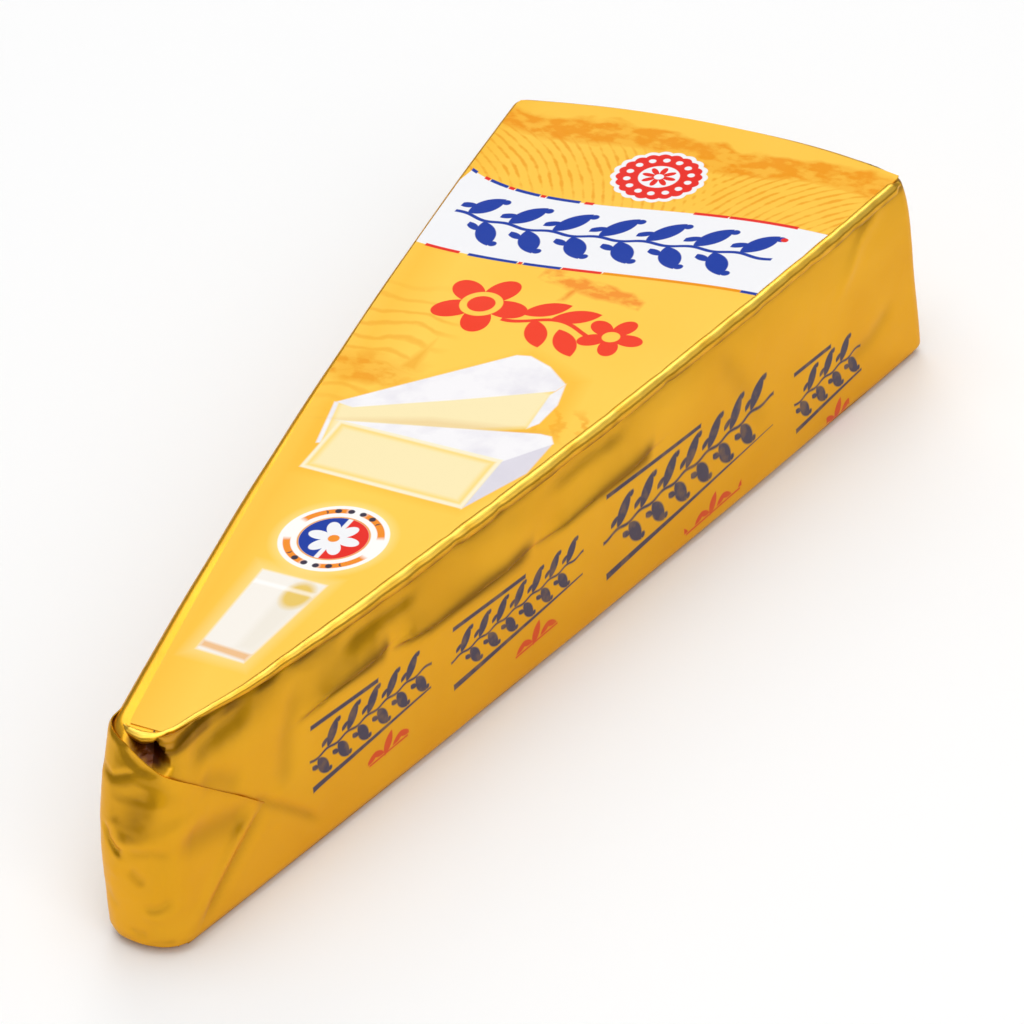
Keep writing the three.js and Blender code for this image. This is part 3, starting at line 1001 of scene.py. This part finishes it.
tone = noise_field(tree, place, 38, 3).blend(0.3, 0.7)
colour = over(tree, ink(239, 178, 38), tone, ink(232, 168, 24))
# Painted highlight: paler colour where the mark is below zero, along the bead's crest.
colour = over(tree, colour, painted_light_level.math("MULTIPLY", -1.0, clamp=True), ink(250, 212, 90))
# Painted shade: browner colour in the folds and under the rolled edge.
colour = over(tree, colour, painted_light_level.math("MULTIPLY", 0.88, clamp=True), ink(138, 92, 2))
# Deeper painted shade in the nose's pocket.
colour = over(tree, colour, (painted_light_level - 1.0).blend(0.0, 0.8) * 0.95, ink(78, 28, 0))

# Each print: where it starts round the wall, its width, the height of its middle, and its size.
SIDE_PRINTS = [(31.0, 24.5, 14.3, 4.7), (59.5, 28.5, 12.9, 4.5), (92.5, 40.5, 12.9, 6.3),
               (138.0, 17.5, 9.3, 5.0)]
PRINT_TILT = 0.035
navy_parts, red_parts = [], []
distance_round = abs(u)
for start, width, middle, tall in SIDE_PRINTS:
    along = distance_round - (start + width / 2)
    up = z - middle - along * PRINT_TILT
    garland_size = tall * 1.5
    navy_parts.append(garland_mask(tree, along / garland_size, up / garland_size, width / (3.0 * tall), 0.03))
    top_rule = (abs(up - tall * 0.86 + along * 0.06) - 0.33).most(abs(along + width * 0.22) - width * 0.27)
    rule_weight = along * -0.012 + 0.3
    bottom_rule = (abs(up + tall * 0.84 - along * 0.03) - rule_weight).most(abs(along) - width * 0.49)
    navy_parts.append(top_rule.least(bottom_rule).inside(0.2))
    sprig_x, sprig_y = along - width * 0.12, up + tall * 1.45
    bud = leaf(*turned(sprig_x, sprig_y, (0, 0.2), 62), 3.6, 1.5)
    step = sprig_x.math("WRAP", 2.6, -2.6)
    side_leaf = leaf(*turned(abs(step), sprig_y, (2.1, -0.2), 25), 2.9, 1.0)
    stalk = (abs(sprig_y + 1.1) - 0.16).most(abs(sprig_x) - width * 0.16)
    red_parts.append(bud.least(side_leaf, stalk).most(abs(sprig_x) - width * 0.17).inside(0.2))
on_side = (girth / 2 - 36 - distance_round).math("GREATER_THAN", 0)
worn = noise_field(tree, place, 420, 2).blend(0.30, 0.5) * 0.14 + 0.83
navy = navy_parts[0].most(*navy_parts[1:]) * on_side * worn
red = red_parts[0].most(*red_parts[1:]) * on_side * worn
colour = over(tree, colour, navy, ink(46, 46, 84))
colour = over(tree, colour, red, ink(224, 66, 4))
tree.links.new(colour, shader.inputs["Base Color"])
printed = navy.most(red)
tree.links.new((0.96 - printed * 0.62).socket, shader.inputs["Metallic"])
rough = noise_field(tree, place, 75, 3).blend(0.25, 0.75) * 0.10 + 0.35 + printed * 0.12
tree.links.new(rough.socket, shader.inputs["Roughness"])
shader.inputs["Coat Weight"].default_value = 0.22
shader.inputs["Coat Roughness"].default_value = 0.12
shader.inputs["Specular Tint"].default_value = (1.0, 0.84, 0.5, 1)
add_fine_creases(tree, place, 70, 330, 0.25, 0.35, 0.0006)
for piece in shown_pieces():
    if piece.name not in ("printed_label", "soft_cheese"):
        set_finish(piece, gold_foil)
print("gold foil:", len(tree.nodes), "nodes")

# %% [markdown]
# ## The label's print
# The print is built up from the back like any poster: a yellow ground, an engraving of fields
# and trees in deeper orange, a white ribbon with a dashed border and a bold garland, a round
# seal, a row of red blossoms, a picture of two cut wedges, a badge, and a glass of milk. All
# sizes are millimetres on the top of the wedge: x across, y towards the rind end.

# %% Ground and engraving
print_finish, tree, shader, place = new_finish("label_print")
x, y = fields_of(tree, place, "XY")

GROUND, WARM, ENGRAVED = ink(249, 205, 84), ink(240, 173, 26), ink(233, 145, 0)
ORANGE = ink(238, 140, 40)
colour = GROUND
broad = noise_field(tree, place, 22, 2).blend(0.35, 0.75)
from_left = abs(x + y * 0.19 + 17.0)
colour = over(tree, colour, (y - 40).blend(0, 26) * 0.25, WARM)
colour = over(tree, colour, (broad * 0.30).most((from_left * -0.12 + 1).math("MAXIMUM", 0.0) * 0.45), WARM)
scratchy = noise_field(tree, place, 480, 4, (0.7, 1.0, 1))
blotchy = noise_field(tree, place, 120, 3)

tree_line = y - 79.2 - (blotchy - 0.5) * 9 + abs(x - 4) * 0.03
field_line = y - 72.4 + (x * 0.21).sine() * 1.3 - (scratchy - 0.5) * 4
woods = tree_line.inside(1.2) * (0.0 - field_line).inside(1.2)
wood_grain = scratchy.blend(0.40, 0.56) * 0.6 + 0.4
colour = over(tree, colour, woods * wood_grain * 0.9, ENGRAVED)
furrow_way = ((x + 46).far(y - 40) * 4.2 + (blotchy - 0.5) * 5).sine()
other_way = ((x - 44).far(y - 52) * 4.0 + (blotchy - 0.5) * 5).sine()
which = (x - 5).blend(-3, 5)
furrows = (furrow_way * (1 - which) + other_way * which + (scratchy - 0.5) * 3).blend(0.35, 1.2)
meadow = (y - 73.5).inside(3) * (57 - y).inside(3)
colour = over(tree, colour, furrows * meadow * 0.65, ENGRAVED)

hamlet_line = abs(y - 5.8 - (blotchy - 0.5) * 7) - 3.2
hamlet = hamlet_line.inside(2.5) * (abs(x + 16.5) - 7).inside(4)
spire = panel(x, y, [(-11.9, 8), (-9.2, 8), (-10.4, 14.8)]).inside(1.2) * 0.5
lanes = ((y * 1.9 + (x * 0.5).sine() * 1.4 + (blotchy - 0.5) * 9).sine()).blend(0.3, 1.1)
lane_area = (abs(y - 12) - 14).inside(8) * (x + 9.5).inside(5)
wheat = ((x * 1.5 + y * 0.9 + (scratchy - 0.5) * 9).sine()).blend(0.2, 1.0)
wheat_area = (abs(y - 3.5) - 3.2).inside(3) * (13.4 - x).inside(1.5)
sketch = (hamlet * wood_grain * 0.75).most(spire, lanes * lane_area * 0.45, wheat * wheat_area * 0.6)
colour = over(tree, colour, sketch, ENGRAVED)
bush = (abs(y - 36.4 + x * 0.14 - (blotchy - 0.5) * 5) - 1.5).most(abs(x - 4) - 8.6)
bush_trunk = panel(x, y, [(0.9, 31.5), (1.7, 31.5), (2.6, 37), (1.6, 37)])
bush_mask = bush.least(bush_trunk).inside(0.8) * scratchy.blend(0.36, 0.56) * 0.75
colour = over(tree, colour, bush_mask, ink(236, 122, 30))
print("ground:", len(tree.nodes), "nodes")


# %% Ribbon, border and garland
def curve(x, *terms):
    """A smooth curve across the label; each term is a higher power of x in units of 30 mm."""
    share = x / 30.0
    total = share * terms[-1] + terms[-2]
    for term in reversed(terms[:-2]):
        total = total * share + term
    return total


RIBBON_TOP, RIBBON_BOTTOM = (57.86, 6.08, 0.97, -5.45, 1.65), (39.58, 4.86, 1.32, -2.62)
WHITE, NAVY, RED = ink(237, 237, 239), ink(24, 58, 158), ink(226, 44, 34)
BRIGHT_RED = ink(236, 62, 36)
upper, lower = curve(x, *RIBBON_TOP), curve(x, *RIBBON_BOTTOM)
left_end = -28.4 - x + (60 - y) * -0.1
ribbon = (y - upper).most(lower - y, left_end)
soft_fold = noise_field(tree, place, 46, 2).blend(0.35, 0.7)
ribbon_white = over(tree, WHITE, soft_fold * 0.5, ink(232, 233, 238))
colour = over(tree, colour, ribbon.inside(), ribbon_white)


def border(colour, edge, shift, stretches, weight):
    """A thin border along the ribbon's edge, one stretch after another in its own ink."""
    line = abs(y - edge - shift) - weight
    for start, end, stretch_ink in stretches:
        middle, half = (start + end) / 2, (end - start) / 2
        colour = over(tree, colour, line.most(abs(x - middle) - half).inside(), stretch_ink)
    return colour


colour = border(colour, upper, 0.05, [
    (-28.6, -27.4, NAVY), (-25.6, -24.6, RED), (-24.4, -21.0, NAVY), (-20.8, -19.8, RED),
    (-19.6, -15.4, NAVY), (-15.2, -14.4, RED), (-14.2, -8.9, NAVY), (-8.2, -6.8, RED),
    (8.2, 13.4, RED), (13.6, 24.2, RED)], 0.36)
colour = border(colour, lower, 0.0, [
    (-24.6, -18.8, RED), (-17.4, -9.6, NAVY), (-9.4, -8.8, RED), (-8.6, -2.9, NAVY), (-2.7, 3.2, RED),
    (3.4, 24.0, ENGRAVED), (24.0, 27.4, NAVY)], 0.34)
GARLAND_HEIGHT, GARLAND_LENGTH = 12.6, 49.5
middle_line = (upper + lower) * 0.5
garland_x = (x + 0.4) / GARLAND_HEIGHT
garland_y = (y - middle_line - 0.1) / GARLAND_HEIGHT
bold = garland_mask(tree, garland_x, garland_y, GARLAND_LENGTH / GARLAND_HEIGHT / 2, 0.011)
colour = over(tree, colour, bold, NAVY)
colour = over(tree, colour, ((x - 23.8).far(y - 57.6) - 0.55).inside(), RED)

# %% Seal, with a scalloped rim and a daisy
def ring_of_dots(turn, distance, count, radius):
    """Distance to the nearest of some dots that are evenly spaced on a circle."""
    along = (turn * (count / (2 * math.pi))).math("WRAP", 0.5, -0.5) * (2 * math.pi * radius / count)
    return along.far(distance - radius)


SEAL_MIDDLE = (-1.4, 67.0)
seal_x, seal_y = x - SEAL_MIDDLE[0], y - SEAL_MIDDLE[1]
seal_distance = seal_x.far(seal_y)
colour = over(tree, colour, blossom(seal_x, seal_y, 20, 6.9, 7.3).inside(), WHITE)
colour = over(tree, colour, blossom(seal_x, seal_y, 20, 6.1, 6.5).inside(), RED)
beads = ring_of_dots(seal_y.math("ARCTAN2", seal_x), seal_distance, 14, 4.75) - 0.55
colour = over(tree, colour, beads.inside(), WHITE)
colour = over(tree, colour, (seal_distance - 3.1).inside(), WHITE)
colour = over(tree, colour, blossom(seal_x, seal_y, 8, 0.9, 2.7).inside(), RED)
colour = over(tree, colour, (seal_distance - 0.75).inside(), WHITE)

# %% A row of red blossoms and leaves
flower_x, flower_y = x + 9.0, y - 26.6
flower = blossom(flower_x, flower_y, 5, 3.2, 7.3)
ring_gap = abs(flower_x.far(flower_y) - 2.6) - 0.55
stalk_line = y - 25.4 - (x * 0.42).sine() * 1.3
stalk = (abs(stalk_line) - 0.42).most(abs(x - 3.2) - 7.6)
leaves = [((0.6, 28.6), 38), ((2.0, 22.6), -58), ((5.4, 28.4), 30), ((7.0, 21.9), -50)]
sprays = [leaf(*turned(x, y, middle, angle), 7.4, 3.3) for middle, angle in leaves]
small_flower = blossom(x - 12.4, y - 25.6, 5, 2.1, 4.9).most(1.3 - (x - 12.4).far(y - 25.6))
blossoms = flower.most(0 - ring_gap).least(stalk, small_flower, *sprays)
colour = over(tree, colour, blossoms.inside(), BRIGHT_RED)
print("ribbon, seal and blossoms:", len(tree.nodes), "nodes")

# %% Picture of two cut wedges
RIND, RIND_SHADE = ink(240, 238, 240), ink(216, 212, 222)
PASTE, PASTE_EDGE = ink(244, 228, 178), ink(246, 212, 110)
grey_bloom = noise_field(tree, place, 210, 3).blend(0.45, 0.72)
rind_colour = over(tree, RIND, grey_bloom * 0.55, RIND_SHADE)


def paste_colour(depth):
    """Paste that is yellower near the rind; depth is the distance to the cut face's edge."""
    return over(tree, PASTE_EDGE, (depth * -0.85).math("MINIMUM", 1.0).math("MAXIMUM", 0.0), PASTE)


def lay_panels(colour, rows):
    """Print flat shapes one over another; each row has corners, softness, strength and ink."""
    for corners, softness, strength, row_ink in rows:
        mask = panel(x, y, corners).inside(softness)
        colour = over(tree, colour, mask if strength == 1 else mask * strength, row_ink)
    return colour


BACK_FACE = [(-15.5, -3.2), (-12.6, -12.6), (12.8, 1.0), (12.2, 10.2), (3.0, 12.0)]
BACK_TIP = [(-15.8, -3.0), (-13.0, -12.8), (-12.4, -12.6), (-15.1, -3.0)]
BACK_END = [(11.4, 9.4), (12.4, 1.0), (13.4, 2.6), (13.6, 7.6), (12.2, 12.6)]
BACK_TOP = [(-15.6, -3.0), (-12.0, -3.4), (-0.5, 3.4), (11.5, 10.0), (12.2, 12.6), (8.0, 15.8), (4.2, 17.2),
            (2.2, 16.7)]
GLOW = [(-16, -4), (-12, -19), (13, -19.5), (18, -8), (14, 14), (4, 18)]
FRONT_SHADOW = [(-12.6, -6.4), (15.4, -1.2), (16.2, 1.6), (-1, -1.8)]
FRONT_END = [(12.9, -6.9), (13.5, -19.1), (17.6, -8.6), (17.5, -1.0), (16.4, 0.3)]
FRONT_TOP = [(-12.9, -6.9), (13.1, -7.4), (17.6, -1.0), (16.5, 0.5), (14.8, 0.5)]
FRONT_EDGE = [(-12.7, -6.8), (-12.1, -18.7), (13.5, -19.2), (13.1, -7.0)]
FRONT_FACE = [(-12.1, -7.4), (-11.5, -18.0), (12.8, -18.4), (12.4, -7.8)]

colour = over(tree, colour, (panel(x, y, GLOW) - 0.4).inside(2.6) * 0.55, ink(246, 178, 40))
back_face = panel(x, y, BACK_FACE)
colour = over(tree, colour, back_face.inside(0.3), paste_colour(back_face))
back_rind = panel(x, y, BACK_TOP).least(panel(x, y, BACK_END), panel(x, y, BACK_TIP))
colour = over(tree, colour, back_rind.inside(0.3), rind_colour)
colour = lay_panels(colour, [
    (FRONT_SHADOW, 1.6, 0.30, ink(214, 156, 60)),
    (FRONT_END, 0.3, 1, over(tree, RIND_SHADE, grey_bloom * 0.5, ink(200, 196, 210))),
    (FRONT_TOP, 0.3, 1, rind_colour),
    (FRONT_EDGE, 0.3, 1, ink(244, 234, 202))])
front_face = panel(x, y, FRONT_FACE)
colour = over(tree, colour, front_face.inside(0.5), paste_colour(front_face))

# %% Badge with a flower
BADGE_MIDDLE = (1.0, -31.6)
badge_x, badge_y = x - BADGE_MIDDLE[0], y - BADGE_MIDDLE[1]
badge_distance = badge_x.far(badge_y)
badge_turn = badge_y.math("ARCTAN2", badge_x)
colour = over(tree, colour, (badge_distance - 8.3).inside(1.4) * 0.5, ink(250, 225, 150))
colour = over(tree, colour, (badge_distance - 7.5).inside(), ink(246, 244, 240))
ring_band = abs(badge_distance - 6.3) - 0.5
side_arcs = 1.05 - abs(abs(badge_turn) - math.pi / 2)
colour = over(tree, colour, ring_band.most(abs(side_arcs - 0.35) - 0.5).inside(), ORANGE)
ticks = ring_of_dots(badge_turn, badge_distance, 22, 6.3) - 0.48
top_and_bottom = 0.78 - abs(badge_turn.math("SINE"))
colour = over(tree, colour, ticks.most(top_and_bottom * 6).inside(), ink(58, 52, 70))
colour = over(tree, colour, (badge_distance - 4.95).inside(), ink(236, 160, 70))
in_badge = badge_distance - 4.7
colour = over(tree, colour, in_badge.inside(), WHITE)
colour = over(tree, colour, in_badge.most(badge_x + 0.35).inside(), NAVY)
colour = over(tree, colour, in_badge.most(0.35 - badge_x).inside(), RED)
flower_mark = blossom(badge_x, badge_y, 6, 1.7, 3.8)
colour = over(tree, colour, flower_mark.inside(), WHITE)
colour = over(tree, colour, (badge_distance - 0.8).inside(), ORANGE)

# %% Glass of milk
colour = lay_panels(colour, [
    ([(-5.6, -40), (-4.2, -61), (5.2, -61), (6.6, -40)], 2.2, 0.28, ink(255, 240, 190)),
    ([(-4.2, -41.2), (-3.1, -59.6), (4.3, -59.9), (5.7, -41.2)], 0.5, 0.95, ink(240, 236, 230)),
    ([(1.2, -46.0), (1.6, -57.4), (4.2, -57.4), (5.2, -42.0), (1.6, -42.0)], 1.4, 0.5, ink(228, 220, 204))])
reflection = (x - 3.2).far((y + 44.6) * 0.7) - 2.0
colour = over(tree, colour, reflection.inside(1.0) * 0.85, ink(228, 188, 48))
colour = lay_panels(colour, [
    ([(-3.9, -43.4), (-3.9, -44.2), (5.2, -44.2), (5.2, -43.4)], 0.5, 0.5, ink(255, 255, 255)),
    ([(-3.1, -57.6), (-3.0, -58.8), (4.2, -59.4), (4.3, -58.0)], 0.6, 0.75, ink(232, 168, 82))])
print("whole print:", len(tree.nodes), "nodes")

# %% The label's gloss
tree.links.new(colour, shader.inputs["Base Color"])
sheen_patch = noise_field(tree, place, 65, 3).blend(0.3, 0.7) * 0.10 + 0.45
tree.links.new(sheen_patch.socket, shader.inputs["Roughness"])
shader.inputs["Specular IOR Level"].default_value = 0.06
add_fine_creases(tree, place, 45, 420, 0.5, 0.10, 0.0003)
set_finish(label, print_finish)

# %% [markdown]
# ## The cheese
# The cheese lies out of sight inside the foil, but it is a piece of its own, so it gets its own
# finish: a white bloomy rind on the top, the base and the curved end, and pale paste with a few
# small eyes on the cut sides.

# %% Cheese finish
cheese_low, cheese_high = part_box("cheese_wedge")
cheese_finish, tree, shader, place = new_finish("brie_cheese")
y, z = fields_of(tree, place, "YZ")
ragged = (noise_field(tree, place, 160, 3) - 0.5) * 1.2
RIND_DEPTH = 1.6
half_height = (cheese_high.z - cheese_low.z) / MM / 2
flat_rind = half_height - RIND_DEPTH - abs(z - (cheese_low.z / MM + half_height)) + ragged
end_rind = cheese_high.y / MM - RIND_BOW - RIND_DEPTH - y + ragged
rind_mask = flat_rind.least(end_rind).inside(0.5)
bloom = noise_field(tree, place, 240, 4).blend(0.35, 0.7)
paste = over(tree, ink(246, 230, 176), noise_field(tree, place, 30, 2).blend(0.3, 0.7), ink(250, 238, 196))
eyes = (noise_field(tree, place, 300, 1) - 0.27).inside(0.03)
paste = over(tree, paste, eyes * 0.5, ink(222, 196, 130))
colour = over(tree, paste, rind_mask, over(tree, ink(244, 241, 232), bloom * 0.6, ink(226, 219, 200)))
tree.links.new(colour, shader.inputs["Base Color"])
tree.links.new((rind_mask * 0.3 + 0.5 + bloom * 0.1).socket, shader.inputs["Roughness"])
shader.inputs["Subsurface Weight"].default_value = 0.2
shader.inputs["Subsurface Radius"].default_value = (0.004, 0.003, 0.0015)
add_fine_creases(tree, place, 120, 700, 0.8, 0.25, 0.0003)
set_finish(cheese, cheese_finish)

# %% [markdown]
# ## The studio
# The wedge lies on a plain pale floor. A large soft light hangs above it, so that the top is even
# and the rolled edge catches a long bright line, helped by a highlight painted along its crest. A
# second one in front clears the shadow, and a small one behind lights the rind end. Foil shows what
# surrounds it, so the sky is bright overhead and dim near the horizon: that dim band darkens the
# foil under every fold, together with the shade painted into the foil's colour.

# %% Floor
start_only()
bpy.ops.mesh.primitive_plane_add(size=6)
floor = bpy.context.object
floor.name = floor.data.name = "floor"
bpy.ops.object.mode_set(mode="EDIT")
bpy.ops.mesh.subdivide(number_cuts=3)
bpy.ops.object.mode_set(mode="OBJECT")
floor_finish, _, floor_shader, _ = new_finish("pale_floor")
floor_shader.inputs["Base Color"].default_value = (0.92, 0.92, 0.92, 1)
floor_shader.inputs["Roughness"].default_value = 0.8
floor_shader.inputs["Specular IOR Level"].default_value = 0.1
set_finish(floor, floor_finish)
floor_at = foil_low.z - 0.0001
floor.data.transform(Matrix.Translation((0, 0, floor_at)))
print("floor at", round(floor_at / MM, 2), "mm")


# %% Sky
world = bpy.data.worlds.new("studio")
bpy.context.scene.world = world
world.use_nodes = True
tree = world.node_tree
direction = tree.nodes.new("ShaderNodeTexCoord").outputs["Generated"]
height_of_view = tree.nodes.new("ShaderNodeSeparateXYZ")
tree.links.new(direction, height_of_view.inputs[0])
sky = tree.nodes.new("ShaderNodeValToRGB")
SKY = [(0.0, 0.10), (0.16, 0.12), (0.42, 0.75), (1.0, 0.95)]
for i, (place, grey) in enumerate(SKY):
    stop = sky.color_ramp.elements[i] if i < 2 else sky.color_ramp.elements.new(place)
    stop.position, stop.color = place, (grey, grey, grey, 1)
tree.links.new(height_of_view.outputs["Z"], sky.inputs["Fac"])
tree.links.new(sky.outputs["Color"], tree.nodes["Background"].inputs["Color"])
tree.nodes["Background"].inputs["Strength"].default_value = 0.45


# %% Soft lights
def soft_light(name, place, size, power):
    """A square soft light that looks at the wedge."""
    light = bpy.data.lights.new(name, "AREA")
    light.shape, light.size, light.energy = "SQUARE", size, power
    lamp = bpy.data.objects.new(name, light)
    bpy.context.scene.collection.objects.link(lamp)
    lamp.location = place
    lamp.rotation_euler = (Vector((0, 0, 0.015)) - Vector(place)).to_track_quat("-Z", "Y").to_euler()
    print(f"{name}: {power} W, {size} m square")
    return lamp


soft_light("overhead", (-0.05, 0.05, 1.15), 1.1, 7.8)
soft_light("front_side", (0.75, -0.6, 0.75), 0.9, 5.0)
soft_light("far_side", (-0.5, 0.8, 0.65), 0.55, 2.3)

# %% [markdown]
# ## The camera
# The wedge is looked at from in front of its nose, a little to the right, and from well above,
# with a long lens from half a metre away, so its long sides hardly converge. The camera is
# turned slightly about its own view line.

# %% Camera
CAMERA_PLACE = Vector((287.3, -443.35, 376.06)) * MM
VIEW_TURN, VIEW_RISE, VIEW_ROLL = 32.09, 34.54, -5.78
LENS = 161.84

turn, rise, roll_angle = (math.radians(a) for a in (VIEW_TURN, VIEW_RISE, VIEW_ROLL))
back = Vector((math.sin(turn) * math.cos(rise), -math.cos(turn) * math.cos(rise), math.sin(rise)))
right = Vector((math.cos(turn), math.sin(turn), 0))
up = back.cross(right)
rolled_right = right * math.cos(roll_angle) + up * math.sin(roll_angle)
rolled_up = up * math.cos(roll_angle) - right * math.sin(roll_angle)
camera_data = bpy.data.cameras.new("camera")
camera_data.lens = LENS
camera_data.clip_start = 0.05
camera = bpy.data.objects.new("camera", camera_data)
bpy.context.scene.collection.objects.link(camera)
camera.matrix_world = Matrix((
    (rolled_right.x, rolled_up.x, back.x, CAMERA_PLACE.x),
    (rolled_right.y, rolled_up.y, back.y, CAMERA_PLACE.y),
    (rolled_right.z, rolled_up.z, back.z, CAMERA_PLACE.z),
    (0, 0, 0, 1),
))
bpy.context.scene.camera = camera
bpy.context.scene.view_settings.view_transform = "Standard"
print("camera at", [round(c, 3) for c in CAMERA_PLACE])
